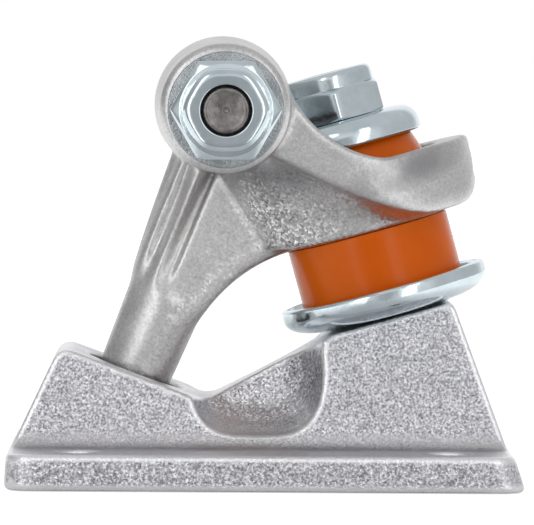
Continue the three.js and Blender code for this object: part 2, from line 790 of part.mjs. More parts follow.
// Under the band, the boss spreads to the band's full width in a hollow flank
function flank() {
  const boss = ringBossDiameter / 2;
  const wide = ringDiameter / 2 - ringCupClearance;
  const web = webThickness / 2 - webEdgeInset;
  const footHeight = ringBottom + flankFootRise;
  const curve = bandUnderCurve();
  const circleHalf = (radius, x) => Math.sqrt(Math.max(radius ** 2 - x ** 2, 0));
  const bulge = (x) => web + (boss - web) * Math.cos(x / flankFootEnd * Math.PI / 2) ** 0.8;
  const rings = [];
  const barrelSteps = 4;
  for (let step = 0; step < barrelSteps; step += 1) {
    const share = step / barrelSteps;
    const edgeX = -flankTopEnd + (curve.v0.x + flankTopEnd) * share;
    const footX = -flankFootEnd * (1 - share) + curve.v0.x * 0.8 * share;
    const rise = ribEdgeRound * (1 - share);
    const half = web + (wide - web) * Math.sin(share * Math.PI / 2);
    rings.push(flankRing(
      new THREE.Vector2(footX, footHeight + rise), bulge(footX),
      new THREE.Vector2(edgeX, curve.v0.y), half));
  }
  const bandSteps = 10;
  for (let step = 0; step <= bandSteps; step += 1) {
    const edge = curve.getPoint(step / bandSteps);
    const behind = edge.x < 0;
    const footX = behind ? edge.x * 0.8 : edge.x;
    rings.push(flankRing(
      new THREE.Vector2(footX, footHeight), behind ? bulge(footX) : circleHalf(boss, footX),
      edge, behind ? wide : circleHalf(wide, edge.x)));
  }
  const last = new THREE.Vector2(boss * 0.94, ringBottom + ringBossProud + flankFootRise);
  rings.push(flankRing(
    last, circleHalf(boss, last.x),
    new THREE.Vector2(last.x, last.y + flankFootRise), circleHalf(wide, last.x)));
  return loft(rings);
}

// The band's whole lower outline, on past that edge and up round the ring's front
function bandUnderLine() {
  const outer = ringDiameter / 2;
  const under = bandUnderCurve();
  const low = under.v3.y;
  const level = new THREE.LineCurve(under.v3, new THREE.Vector2(outer * 0.78, low));
  const front = new THREE.QuadraticBezierCurve(
    level.v2, new THREE.Vector2(outer * 0.97, low), new THREE.Vector2(outer, ringCentre));
  return [...under.getPoints(12), level.getPoint(0.5), ...front.getPoints(6)];
}

// The band seen from the side: its two long curves sweep from the ring up to the barrel
function bandShape() {
  const outer = ringDiameter / 2;
  const axle = axleByKingpin;
  const barrelRight = axle.x + barrelMidDiameter / 2;
  const rise = axle.y - ringTop;
  const lower = bandUnderLine();
  const shape = new THREE.Shape(lower);
  shape.lineTo(outer, ringTop);
  shape.lineTo(outer * 0.32, ringTop);
  shape.bezierCurveTo(
    outer * 0.17, ringTop, barrelRight * 0.86, ringTop + rise * 0.36, barrelRight, axle.y);
  shape.lineTo(axle.x, axle.y);
  shape.lineTo(axle.x, lower[0].y + barrelMidDiameter * 0.02);
  return shape;
}

// What leans the foot of the band's outer face inwards, swept down one arm and back up the other
function bandFootCut() {
  const outer = ringDiameter / 2;
  const below = -bandFootHeight / 2;
  const above = bandFootHeight * 1.5;
  const corners = [
    [-bandFootLean * 1.5, below],
    [cutOverrun, below],
    [cutOverrun, above],
    [bandFootLean / 2, above],
  ];
  const station = (point, side) => {
    const round = Math.max(point.x, 0);
    const across = side * Math.sqrt(Math.max(outer ** 2 - round ** 2, 0));
    const out = new THREE.Vector2(round, across).divideScalar(outer);
    return corners.map(([reach, rise]) => new THREE.Vector3(
      point.x + out.x * reach, across + out.y * reach, point.y + rise));
  };
  const line = bandUnderLine();
  const near = line.slice(0, -1).map((point) => station(point, -1)).reverse();
  const far = line.map((point) => station(point, 1));
  return loft([...far, ...near]);
}

// The band seen down the kingpin: the ring's half circle and two arms that run to the barrel
function bandPlan() {
  const outer = ringDiameter / 2;
  const shape = new THREE.Shape();
  shape.moveTo(axleByKingpin.x, -outer);
  shape.lineTo(0, -outer);
  shape.absarc(0, 0, outer, -Math.PI / 2, Math.PI / 2);
  shape.lineTo(axleByKingpin.x, outer);
  return shape;
}

function hangerHollows() {
  const washerWellTop = topWasherTop + washerWellClearance;
  const wellTop = axleByKingpin.y + barrelMidDiameter;
  const washerWell = stadium(topWasherDiameter / 2 + washerWellClearance, kingpinSwing(topWasherTop));
  const nutCorner = kingpinNutAcrossFlats / Math.sqrt(3);
  const nutWell = stadium(nutCorner + washerWellClearance, kingpinSwing(kingpinNutTop));
  const bushingCup = rod(topBushingBaseDiameter / 2 + ringCupClearance, ringSeat, ringTop + cutOverrun, 48);
  const hole = rod(ringHole / 2, ringBottom - cutOverrun, ringTop, 36);
  const axleBore = rod(axleDiameter / 2 + seatGap / 2, -barrelLength, barrelLength);
  return union([
    placed(column(washerWell, ringTop - ringRim / 2, washerWellTop), kingpinFrame),
    placed(column(nutWell, topWasherTop, wellTop), kingpinFrame),
    placed(bushingCup, kingpinFrame),
    placed(hole, kingpinFrame),
    placed(axleBore, barrelFrame),
  ]);
}

function hangerSolid() {
  const width = ringDiameter + 2 * cutOverrun;
  const bandColumn = column(bandPlan(), ringBottom - cutOverrun, axleByKingpin.y + cutOverrun, 24);
  const bandSlab = placed(slab(bandShape(), width, 0, 10), kingpinFrame);
  const band = bandSlab
    .intersect(placed(bandColumn, kingpinFrame))
    .subtract(placed(bandFootCut(), kingpinFrame));
  return union([
    placed(barrel(), barrelFrame),
    placed(stemAndTrunk(), pivotFrame),
    placed(rod(ringBossDiameter / 2, ringBottom, ringSeat + ringCupClearance, 56), kingpinFrame),
    placed(flank(), kingpinFrame),
    band,
    solidOf(web()).add(solidOf(underRib())).intersect(placed(webEnvelope(), pivotFrame)),
  ]).subtract(hangerHollows());
}

// Axle and what is on it, turned about the axle with the truck's middle at zero

function axleProfile() {
  const half = axleLength / 2;
  const radius = axleDiameter / 2;
  const tip = radius - threadChamfer;
  return revolved([
    [0, -half],
    [tip, -half],
    [radius, threadChamfer - half],
    [radius, half - threadChamfer],
    [tip, half],
    [0, half],
  ], 32);
}

function speedWasher() {
  const bore = speedWasherBore / 2;
  const outer = speedWasherDiameter / 2;
  const ease = speedWasherThickness / 5;
  return revolved([
    [bore, 0],
    [outer - ease, 0],
    [outer, ease],
    [outer, speedWasherThickness - ease],
    [outer - ease, speedWasherThickness],
    [bore, speedWasherThickness],
    [bore, 0],
  ], 28);
}

// Materials

function metal(color, roughness) {
  return new THREE.MeshStandardMaterial({ color, roughness, metalness: 1 });
}

function plastic(color, roughness) {
  return new THREE.MeshStandardMaterial({ color, roughness, metalness: 0 });
}

const rawCasting = () => metal(0xa8a8ac, 0.6);
const tumbledCasting = () => metal(0xb4b2b0, 0.38);
const zincPlate = () => metal(0xb4c2c6, 0.22);
const axleSteel = () => metal(0x726e70, 0.35);
const urethane = () => plastic(0xc4560f, 0.35);
const nylon = () => plastic(0xc9ced1, 0.5);
const cupPlastic = () => plastic(0x2a2a2c, 0.6);

// Assembly

function piece(name, geometry, material) {
  const mesh = new THREE.Mesh(geometry, material);
  mesh.name = name;
  return mesh;
}

function framed(frame, ...meshes) {
  const group = new THREE.Group();
  group.applyMatrix4(frame);
  group.add(...meshes);
  return group;
}

function kingpinStack() {
  const bottom = bushing(bottomBushingDiameter / 2, bottomBushingDiameter / 2, bottomBushingHeight);
  const top = bushing(topBushingBaseDiameter / 2, topBushingTopDiameter / 2, topBushingHeight);
  return framed(
    kingpinFrame,
    piece('kingpin', geometryOf(kingpinSolid()), zincPlate()),
    piece('bottom_washer', bottomWasher(), zincPlate()),
    piece('bottom_bushing', bottom.translate(0, 0, bottomBushingBase), urethane()),
    piece('top_bushing', top.translate(0, 0, topBushingBase), urethane()),
    piece('top_washer', topWasher(), zincPlate()),
    piece('kingpin_nut', geometryOf(lockNut(kingpinNut)).translate(0, 0, kingpinNutBase), zincPlate()),
    piece('kingpin_nut_insert', nutInsert(kingpinNut).translate(0, 0, kingpinNutBase), nylon()),
  );
}

// One end of the axle: the inner washer on the barrel, and the outer washer and nut at the axle's end
function axleEnd(side) {
  const nutHeight = axleNutHexHeight + axleNutCrownHeight;
  const nutBase = axleLength / 2 + endRecess - nutHeight;
  const outerWasherBase = nutBase - seatGap - speedWasherThickness;
  const innerWasherBase = barrelLength / 2 + seatGap;
  const nut = geometryOf(lockNut(axleNut)).rotateZ(Math.PI / 6);
  const end = framed(
    new THREE.Matrix4(),
    piece(`speed_washer_inner_${side}`, speedWasher().translate(0, 0, innerWasherBase), zincPlate()),
    piece(`speed_washer_outer_${side}`, speedWasher().translate(0, 0, outerWasherBase), zincPlate()),
    piece(`axle_nut_${side}`, nut.translate(0, 0, nutBase), zincPlate()),
    piece(`axle_nut_insert_${side}`, nutInsert(axleNut).translate(0, 0, nutBase), nylon()),
  );
  if (side === 'right') end.rotateX(Math.PI);
  return end;
}

const truck = new THREE.Group();
truck.add(
  piece('baseplate', geometryOf(baseplateSolid()), rawCasting()),
  piece('hanger', geometryOf(hangerSolid()), tumbledCasting()),
  framed(pivotFrame, piece('pivot_cup', pivotCup(), cupPlastic())),
  framed(barrelFrame, piece('axle', axleProfile(), axleSteel()), axleEnd('left'), axleEnd('right')),
  kingpinStack(),
);

export default truck;
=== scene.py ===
"""Skateboard truck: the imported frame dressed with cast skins, turned hardware and urethane, in a pale studio."""

import json
import math

import bmesh
import bpy
from mathutils import Matrix, Vector

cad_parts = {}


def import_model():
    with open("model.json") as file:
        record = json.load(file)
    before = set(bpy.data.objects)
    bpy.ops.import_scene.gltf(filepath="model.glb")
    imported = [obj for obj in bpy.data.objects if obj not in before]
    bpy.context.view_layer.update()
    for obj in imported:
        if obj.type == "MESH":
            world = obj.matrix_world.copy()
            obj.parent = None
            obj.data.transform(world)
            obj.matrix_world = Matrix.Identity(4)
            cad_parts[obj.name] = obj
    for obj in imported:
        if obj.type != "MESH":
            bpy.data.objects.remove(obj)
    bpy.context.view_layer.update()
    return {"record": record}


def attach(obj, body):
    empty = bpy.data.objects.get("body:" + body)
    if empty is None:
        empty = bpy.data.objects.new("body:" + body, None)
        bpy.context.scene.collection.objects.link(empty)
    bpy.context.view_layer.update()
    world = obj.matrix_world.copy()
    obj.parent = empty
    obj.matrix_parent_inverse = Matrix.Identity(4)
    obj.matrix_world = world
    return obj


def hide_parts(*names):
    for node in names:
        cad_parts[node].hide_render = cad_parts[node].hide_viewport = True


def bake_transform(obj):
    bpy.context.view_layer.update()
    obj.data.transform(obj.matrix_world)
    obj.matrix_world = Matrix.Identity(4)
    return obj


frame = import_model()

# Photograph's camera: image size and focal length in pixels, place in metres
IMAGE_WIDTH = 534
IMAGE_HEIGHT = 525
FOCAL_PIXELS = 5030
CAMERA_PLACE = Vector((-0.0102, -0.746, 0.062))
LEVEL_PIXEL = Vector((195.2, 59.2))
CAMERA_ROLL = math.radians(0.4)
SENSOR_WIDTH = 36
NEAREST_SEEN = 0.01

# Skins of the castings: voxel size in metres, and how far and how often they are eased
SKIN_VOXEL = 0.00026
EASING_FACTOR = 0.5
EASING_STEPS = {"hanger": 32, "baseplate": 20}

# Frames of the kingpin's stack, the pivot and the axle, whose own lengths are in millimetres
MM = 0.001
KINGPIN_SEAT = (0.0187, 0, 0.0242)
KINGPIN_LEAN = math.radians(-15.5)
PIVOT_SEAT = (-0.0188, 0, 0.0161)
PIVOT_LEAN = math.radians(22.3)
AXLE_MIDDLE = (-0.00635, 0, 0.0554)
KINGPIN = Matrix.Translation(KINGPIN_SEAT) @ Matrix.Rotation(KINGPIN_LEAN, 4, "Y")
PIVOT = Matrix.Translation(PIVOT_SEAT) @ Matrix.Rotation(PIVOT_LEAN, 4, "Y")
AXLE = Matrix.Translation(AXLE_MIDDLE) @ Matrix.Rotation(math.radians(-90), 4, "X")
AXLE_ENDS = {"left": AXLE, "right": AXLE @ Matrix.Rotation(math.pi, 4, "X")}

# Heights up the kingpin from its seat on the baseplate
BOTTOM_WASHER_BASE = 0.3
WASHER_FLOOR = 2.2
RING_BOTTOM = 13.0
RING_SEAT = 20.0
TOP_WASHER_UNDERSIDE = 28.0
TOP_WASHER_TOP = 29.8
KINGPIN_NUT_BASE = 30.1
KINGPIN_TOP = 36.7
KINGPIN_THREAD_START = 26
HEAD_BOTTOM = -22.1
HEAD_TOP = -16.3
NECK_TOP = -10.0

# Sizes of the turned pieces
KINGPIN_RADIUS = 4.765
KINGPIN_HEAD_FLATS = 14.29
NECK_RADIUS = 5.15
AXLE_RADIUS = 3.97
AXLE_HALF = 101.5
AXLE_THREAD_START = 88.5
AXLE_NUT_BASE = 93.7
SPEED_WASHER_BASES = {"inner": 70.15, "outer": 92.4}
SPEED_WASHER_RADIUS = 7.6
SPEED_WASHER_BORE = 4.25
SPEED_WASHER_SHEET = 1
SETTLE = 0.2
SEAT_GAP = 0.03
THREAD_PITCH = 1.058
THREAD_DEPTH = 0.5
THREAD_STEP = 0.13
CORNER_SOFTNESS = 0.6

# Lock nuts: width across flats, heights of hexagon and crown, radii of crown and thread
KINGPIN_NUT = {
    "flats": 13.9, "hexagon": 4.5 + SETTLE, "crown_radius": 6.85, "crown": 2.5, "thread": KINGPIN_RADIUS,
}
AXLE_NUT = {
    "flats": 12.7, "hexagon": 5.6 + SETTLE, "crown_radius": 5.45, "crown": 2.6, "thread": AXLE_RADIUS,
}
KINGPIN_NUT_TURN = math.radians(2.4)
AXLE_NUT_TURN = math.pi / 6

# Cup washers: radii of rim and flat floor, whole height, thickness of the sheet
BOTTOM_CUP = {"rim": 15.55, "flat": 10.2, "height": 4.3, "sheet": 1.9}
TOP_CUP = {"rim": 11.75, "flat": 8.8, "height": 4.1, "sheet": 1.8}

# Bushings: outer radii of their bodies and of the cone's head, radii of their bores, and the longest step up their
# sides
BUSHING_RADIUS = 12.1
CONE_HEAD_RADIUS = 9.2
BUSHING_BORE = 5.2
BARREL_HEAD_BORE = 6.3
CONE_FOOT_BORE = 5.7
BUSHING_STEP = 0.5


# Node trees

def node(tree, kind, inputs=None, **settings):
    """Add a shader node, set its properties, and fill or link its inputs."""
    made = tree.nodes.new(kind)
    for name, value in settings.items():
        setattr(made, name, value)
    for name, value in (inputs or {}).items():
        socket = made.inputs[name]
        if isinstance(value, bpy.types.NodeSocket):
            tree.links.new(value, socket)
        else:
            socket.default_value = value
    return made


def new_material(name):
    made = bpy.data.materials.new(name)
    made.use_nodes = True
    tree = made.node_tree
    shader = tree.nodes["Principled BSDF"]
    place = node(tree, "ShaderNodeTexCoord").outputs["Object"]
    return made, tree, shader, place


def noise(tree, place, size, detail=3.0, roughness=0.6):
    """Noise whose main features are about size metres across."""
    return node(tree, "ShaderNodeTexNoise", {
        "Vector": place, "Scale": 1 / size, "Detail": detail, "Roughness": roughness,
    }).outputs["Fac"]


def ramp(tree, factor, stops):
    """Colours blended by a factor, from stops of (position, colour)."""
    made = node(tree, "ShaderNodeValToRGB", {"Fac": factor})
    elements = made.color_ramp.elements
    while len(elements) < len(stops):
        elements.new(0.5)
    for element, (position, colour) in zip(elements, stops):
        element.position = position
        element.color = (*colour, 1)
    return made.outputs["Color"]


def scaled(tree, factor, low, high, floor=0.0, ceiling=1.0):
    """The factor's range from floor to ceiling, mapped to low to high and held there."""
    return node(tree, "ShaderNodeMapRange", {
        "Value": factor, "From Min": floor, "From Max": ceiling, "To Min": low, "To Max": high,
    }).outputs["Result"]


def bump(tree, height, distance, normal=None):
    inputs = {"Height": height, "Distance": distance}
    if normal is not None:
        inputs["Normal"] = normal
    return node(tree, "ShaderNodeBump", inputs).outputs["Normal"]


def mixed(tree, factor, first, second):
    return node(tree, "ShaderNodeMix", {"Factor": factor, "A": first, "B": second},
                data_type="RGBA").outputs["Result"]


def maths(tree, operation, *values):
    """One step of arithmetic on numbers or sockets."""
    return node(tree, "ShaderNodeMath", dict(enumerate(values)), operation=operation).outputs[0]


def vector_maths(tree, operation, inputs):
    """One step of arithmetic on vectors."""
    return node(tree, "ShaderNodeVectorMath", inputs, operation=operation).outputs[0]


def separated(tree, vector):
    return node(tree, "ShaderNodeSeparateXYZ", {"Vector": vector}).outputs


def facets(tree, place, size, tilt):
    """Surface normals that lean at random from crystal to crystal, each about size metres across."""
    cells = node(tree, "ShaderNodeTexVoronoi", {"Vector": place, "Scale": 1 / size}).outputs["Color"]
    lean = vector_maths(tree, "SUBTRACT", {0: cells, 1: (0.5, 0.5, 0.5)})
    amount = vector_maths(tree, "SCALE", {0: lean, "Scale": tilt})
    normal = node(tree, "ShaderNodeNewGeometry").outputs["Normal"]
    total = vector_maths(tree, "ADD", {0: normal, 1: amount})
    return vector_maths(tree, "NORMALIZE", {0: total})


def edges(tree, low, high):
    """One on the outer edges of a finely meshed casting, zero on its faces."""
    sharp = node(tree, "ShaderNodeNewGeometry").outputs["Pointiness"]
    return scaled(tree, sharp, 0, 1, low, high)


# Castings: sizes and depths are in metres, and each fade is a pair of values where it starts and ends

# Most of a noise lies between these two values
NOISE_RANGE = (0.3, 0.7)

RAW_GRAIN = (0.00036, 2.0, 0.6)
RAW_PATCH = (0.005, 2.0, 0.5)
RAW_TONES = [(0.34, (0.27, 0.27, 0.30)), (0.5, (0.53, 0.528, 0.557)), (0.62, (0.80, 0.80, 0.825))]
RAW_ROUGHNESS = (0.28, 0.42)
RAW_CRYSTAL = 0.00028
RAW_TILT = 0.5
WORN_TILT = 0.05
RAW_DEPTH = 0.0001
# Painted light: upward faces of the raw casting are made lighter in colour
PAINTED_TOP_LIGHT_TONE = (0.92, 0.92, 0.935, 1)
PAINTED_TOP_LIGHT_SHARE = 0.75
PAINTED_TOP_LIGHT_FADE = (0.3, 0.55)
FOOT_TONE = (0.53, 0.515, 0.52, 1)
FOOT_SHARE = 0.75
FOOT_SMOOTH = 0.6
FOOT_LOWER_FADE = (0.0049, 0.0053)
FOOT_UPPER_FADE = (0.0068, 0.0078)
WORN_TONE = (0.9, 0.9, 0.91, 1)
WORN_SMOOTH = 0.8
WORN_FADE = (0.502, 0.511)

TUMBLED_WAVES = (0.0045, 2.0, 0.5)
TUMBLED_GRAIN = (0.00038, 3.0, 0.65)
SATIN_TONES = [(0.34, (0.54, 0.535, 0.53)), (0.64, (0.70, 0.695, 0.69))]
HOLLOW_TONES = [(0.36, (0.46, 0.455, 0.45)), (0.6, (0.82, 0.815, 0.805))]
# Painted shade under the barrel
PAINTED_SHADE_TONE = (0.22, 0.22, 0.23, 1)
# Painted dark reflection on the ring's band: its tone, its share, and the noise range that breaks it up
PAINTED_REFLECTION_TONE = (0.34, 0.335, 0.34, 1)
PAINTED_REFLECTION_SHARE = (0.5, 1)
PAINTED_REFLECTION_CLOUDS = (0.35, 0.65)
TUMBLED_ROUGHNESS = (0.35, 0.45)
HOLLOW_POLISH = 0.15
TUMBLED_CRYSTAL = 0.00034
SATIN_TILT = 0.08
HOLLOW_TILT = 0.5
WAVE_DEPTH = 0.00018
TUMBLED_DEPTH = 0.00003

# Middle lines of the kingpin and the stem: X at two heights
KINGPIN_LINE = {"x": (0.01766, 0.01212), "heights": (0.028, 0.048)}
STEM_LINE = {"x": (-0.0188, -0.0057), "heights": (0.0161, 0.048)}

# The hanger's hollows: fades with the distance from those lines, with height, forwards and sideways
RING_WALL_FADE = (0.0158, 0.0168)
STEM_FADE = (0.0008, 0.0028)
BARREL_FADE = (0.0455, 0.0475)
FORWARD_FADE = (0.008, 0.014)
POCKET_HEIGHT_FADE = (0.0405, 0.0445)
PAINTED_SHADE_FORWARD_FADE = (0.004, 0.011)
WEB_FADE = (0.0054, 0.0085)
FORWARD_GRAIN = 0.25
POCKET_GRAIN = 0.4
WEB_GRAIN = 0.2
PAINTED_SHADE_SHARE = 0.6

# The painted dark reflection on the middle of the ring's band: an ellipse on a slope
BAND_X = 0.0205
BAND_HEIGHT = 0.0461
BAND_SLOPE = 0.31
BAND_HALF_LENGTH = 0.0085
BAND_HALF_WIDTH = 0.0031
BAND_FADE = (0.05, 1.2)


def line_x(tree, height, line):
    return scaled(tree, height, *line["x"], *line["heights"])


def hollows(tree, place):
    """Where tumbling misses the hanger: how far its grain stays; and where shade is painted darkest, under the
    barrel.
    """
    spot = separated(tree, place)
    across = maths(tree, "ABSOLUTE", spot["Y"])
    ahead = maths(tree, "MAXIMUM", maths(tree, "SUBTRACT", spot["X"], line_x(tree, spot["Z"], KINGPIN_LINE)), 0)
    squares = [maths(tree, "POWER", side, 2) for side in (ahead, across)]
    reach = maths(tree, "SQRT", maths(tree, "ADD", *squares))
    off_stem = maths(tree, "SUBTRACT", spot["X"], line_x(tree, spot["Z"], STEM_LINE))
    past_stem = scaled(tree, off_stem, 0, 1, *STEM_FADE)
    inside = maths(tree, "MULTIPLY", scaled(tree, reach, 1, 0, *RING_WALL_FADE), past_stem)
    below = maths(tree, "MULTIPLY", inside, scaled(tree, spot["Z"], 1, 0, *BARREL_FADE))
    rearward = maths(tree, "MULTIPLY", below, scaled(tree, spot["X"], 1, FORWARD_GRAIN, *FORWARD_FADE))
    open_part = maths(tree, "MULTIPLY", rearward, scaled(tree, spot["Z"], 1, POCKET_GRAIN, *POCKET_HEIGHT_FADE))
    grainy = maths(tree, "MULTIPLY", open_part, scaled(tree, across, WEB_GRAIN, 1, *WEB_FADE))
    # Painted shade: the deepest part under the barrel is darkened in colour
    painted_shade_below = maths(tree, "MULTIPLY", below, scaled(tree, spot["Z"], 0, PAINTED_SHADE_SHARE, *POCKET_HEIGHT_FADE))
    return grainy, maths(tree, "MULTIPLY", painted_shade_below, scaled(tree, spot["X"], 1, 0, *PAINTED_SHADE_FORWARD_FADE))


def painted_band_reflection(tree, place):
    """Where a dark reflection is painted on the middle of the ring's band."""
    spot = separated(tree, place)
    along = maths(tree, "SUBTRACT", spot["X"], BAND_X)
    level = maths(tree, "ADD", maths(tree, "MULTIPLY", along, BAND_SLOPE), BAND_HEIGHT)
    rise = maths(tree, "SUBTRACT", spot["Z"], level)
    shares = (maths(tree, "DIVIDE", along, BAND_HALF_LENGTH), maths(tree, "DIVIDE", rise, BAND_HALF_WIDTH))
    squares = [maths(tree, "POWER", share, 2) for share in shares]
    return scaled(tree, maths(tree, "ADD", *squares), 1, 0, *BAND_FADE)


def finish(tree, shader, tone, roughness, normal, metallic):
    """Give a shader its colour, roughness and surface normal, and say whether it is metal."""
    for name, socket in (("Base Color", tone), ("Roughness", roughness), ("Normal", normal)):
        tree.links.new(socket, shader.inputs[name])
    shader.inputs["Metallic"].default_value = metallic


def raw_casting():
    """Sand-rough aluminium whose crystals catch the light one by one, rubbed smooth along its edges, with painted
    light on its upward faces.
    """
    made, tree, shader, place = new_material("raw_casting")
    grain = noise(tree, place, *RAW_GRAIN)
    patch = noise(tree, place, *RAW_PATCH)
    tone = ramp(tree, grain, RAW_TONES)
    # Painted light: faces turned up get a lighter tone
    upward = separated(tree, node(tree, "ShaderNodeTexCoord").outputs["Normal"])["Z"]
    tone = mixed(tree, scaled(tree, upward, 0, PAINTED_TOP_LIGHT_SHARE, *PAINTED_TOP_LIGHT_FADE), tone, PAINTED_TOP_LIGHT_TONE)
    height = separated(tree, place)["Z"]
    foot = maths(tree, "MULTIPLY", scaled(tree, height, 0, 1, *FOOT_LOWER_FADE),
                 scaled(tree, height, 1, 0, *FOOT_UPPER_FADE))
    tone = mixed(tree, maths(tree, "MULTIPLY", foot, FOOT_SHARE), tone, FOOT_TONE)
    worn = edges(tree, *WORN_FADE)
    smooth = maths(tree, "MAXIMUM", maths(tree, "MULTIPLY", foot, FOOT_SMOOTH),
                   maths(tree, "MULTIPLY", worn, WORN_SMOOTH))
    flaked = facets(tree, place, RAW_CRYSTAL, scaled(tree, smooth, RAW_TILT, WORN_TILT))
    finish(tree, shader, mixed(tree, worn, tone, WORN_TONE),
           scaled(tree, patch, *RAW_ROUGHNESS, *NOISE_RANGE), bump(tree, grain, RAW_DEPTH, flaked), 1)
    return made


def tumbled_casting():
    """Aluminium tumbled to a satin outside; the hollows that tumbling misses keep their sparkle. Shade under the
    barrel and a dark reflection on the ring's band are painted into its colour.
    """
    made, tree, shader, place = new_material("tumbled_casting")
    waves = noise(tree, place, *TUMBLED_WAVES)
    grain = noise(tree, place, *TUMBLED_GRAIN)
    hollow, painted_shade = hollows(tree, place)
    tone = mixed(tree, hollow, ramp(tree, grain, SATIN_TONES), ramp(tree, grain, HOLLOW_TONES))
    # Painted shade under the barrel, mixed into the colour
    tone = mixed(tree, painted_shade, tone, PAINTED_SHADE_TONE)
    # Painted dark reflection on the middle of the ring's band, broken up by the waves
    clouds = scaled(tree, waves, *PAINTED_REFLECTION_SHARE, *PAINTED_REFLECTION_CLOUDS)
    tone = mixed(tree, maths(tree, "MULTIPLY", painted_band_reflection(tree, place), clouds), tone, PAINTED_REFLECTION_TONE)
    dull = scaled(tree, waves, *TUMBLED_ROUGHNESS, *NOISE_RANGE)
    roughness = maths(tree, "SUBTRACT", dull, maths(tree, "MULTIPLY", hollow, HOLLOW_POLISH))
    flaked = facets(tree, place, TUMBLED_CRYSTAL, scaled(tree, hollow, SATIN_TILT, HOLLOW_TILT))
    wavy = bump(tree, waves, WAVE_DEPTH, flaked)
    finish(tree, shader, tone, roughness, bump(tree, grain, TUMBLED_DEPTH, wavy), 1)
    return made


# Plated and plain finishes: sizes and depths are in metres

ZINC_CLOUD = (0.004, 3.0, 0.6)
ZINC_SPECK = (0.0007, 2.0, 0.6)
ZINC_SCRATCH = 0.0003
ROLLED_DEPTH = 0.00008
BRIGHT_ZINC = {
    "dark": (0.59, 0.68, 0.71), "pale": (0.70, 0.785, 0.815), "gloss": (0.1, 0.18), "brushed": 0.000004,
}
DULL_ZINC = {
    "dark": (0.26, 0.28, 0.29), "pale": (0.5, 0.52, 0.53), "gloss": (0.2, 0.34), "brushed": 0.00012,
}

URETHANE_CLOUD = (0.012, 2.0, 0.5)
URETHANE_SPECK = (0.0009, 3.0, 0.6)
URETHANE_TONES = [(0.3, (0.74, 0.12, 0.0)), (0.7, (0.83, 0.157, 0.001))]
URETHANE_ROUGHNESS = (0.14, 0.24)
URETHANE_DEPTH = 0.00002
URETHANE_SETTINGS = {
    "IOR": 1.4, "Specular IOR Level": 0.25, "Subsurface Weight": 0.3,
    "Subsurface Radius": (1.0, 0.35, 0.1), "Subsurface Scale": 0.003,
}

PLAIN_FINISHES = {
    "axle_steel": {
        "grain": (0.0011, 4.0, 0.65), "tones": [(0.32, (0.16, 0.148, 0.144)), (0.68, (0.30, 0.285, 0.277))],
        "roughness": (0.28, 0.46), "depth": 0.00008, "metallic": 1,
    },
    "nylon": {
        "grain": (0.001, 3.0, 0.6), "tones": [(0.3, (0.44, 0.48, 0.50)), (0.7, (0.58, 0.62, 0.64))],
        "roughness": (0.35, 0.5), "depth": 0.00002, "metallic": 0,
    },
    "cup_plastic": {
        "grain": (0.0008, 3.0, 0.6), "tones": [(0.3, (0.012, 0.012, 0.013)), (0.7, (0.03, 0.03, 0.032))],
        "roughness": (0.45, 0.65), "depth": 0.00004, "metallic": 0,
    },
}


def zinc_plate(name, dark, pale, gloss, brushed):
    """Zinc plate with a blue tint and a cloudy gloss; brushed is the depth of its scratches."""
    made, tree, shader, place = new_material(name)
    cloud = noise(tree, place, *ZINC_CLOUD)
    speck = noise(tree, place, *ZINC_SPECK)
    tone = ramp(tree, cloud, [(NOISE_RANGE[0], dark), (NOISE_RANGE[1], pale)])
    rolled = bump(tree, cloud, ROLLED_DEPTH)
    normal = bump(tree, noise(tree, place, ZINC_SCRATCH), brushed, rolled)
    finish(tree, shader, tone, scaled(tree, speck, *gloss, *NOISE_RANGE), normal, 1)
    return made


def urethane():
    """Half-clear orange urethane with faint rubbed marks."""
    made, tree, shader, place = new_material("urethane")
    tone = ramp(tree, noise(tree, place, *URETHANE_CLOUD), URETHANE_TONES)
    speck = noise(tree, place, *URETHANE_SPECK)
    roughness = scaled(tree, speck, *URETHANE_ROUGHNESS, *NOISE_RANGE)
    finish(tree, shader, tone, roughness, bump(tree, speck, URETHANE_DEPTH), 0)
    for name, value in URETHANE_SETTINGS.items():
        shader.inputs[name].default_value = value
    return made


def plain_finish(name, grain, tones, roughness, depth, metallic):
    """A finish whose colour, roughness and fine relief all follow one noise."""
    made, tree, shader, place = new_material(name)
    cloud = noise(tree, place, *grain)
    finish(tree, shader, ramp(tree, cloud, tones), scaled(tree, cloud, *roughness, *NOISE_RANGE),
           bump(tree, cloud, depth), metallic)
    return made


MATERIALS = {
    "raw_casting": raw_casting(),
    "tumbled_casting": tumbled_casting(),
    "zinc_plate": zinc_plate("zinc_plate", **BRIGHT_ZINC),
    "urethane": urethane(),
    **{name: plain_finish(name, **values) for name, values in PLAIN_FINISHES.items()},
}
WASHER_ZINC = zinc_plate("zinc_washer", **DULL_ZINC)
SLOTS = {entry["node"]: entry["material_slot"] for entry in frame["record"]["subparts"]}


# Finishes and skins of the frame's own nodes

def dress_nodes():
    for name, slot in SLOTS.items():
        part = bpy.data.objects[name]
        part.data.materials.clear()
        part.data.materials.append(MATERIALS[slot])


def cast_skin(name, steps):
    """Ease every edge of a casting: a fine even skin, smoothed a little."""
    part = bpy.data.objects[name]
    skin = part.modifiers.new("skin", "REMESH")
    skin.mode = "VOXEL"
    skin.voxel_size = SKIN_VOXEL
    skin.use_smooth_shade = True
    ease = part.modifiers.new("ease", "SMOOTH")
    ease.factor = EASING_FACTOR
    ease.iterations = steps


# Turned pieces: a profile of (radius, height, ease) corners in millimetres, swept about its axis

EASE_STEPS = 6
SEGMENTS = 96
NUT_SEGMENTS = 144
CUP_SEGMENTS = 128
BOLT_SEGMENTS = 112
WELD_DISTANCE = 1e-6
SHARP_ANGLE = math.radians(42)


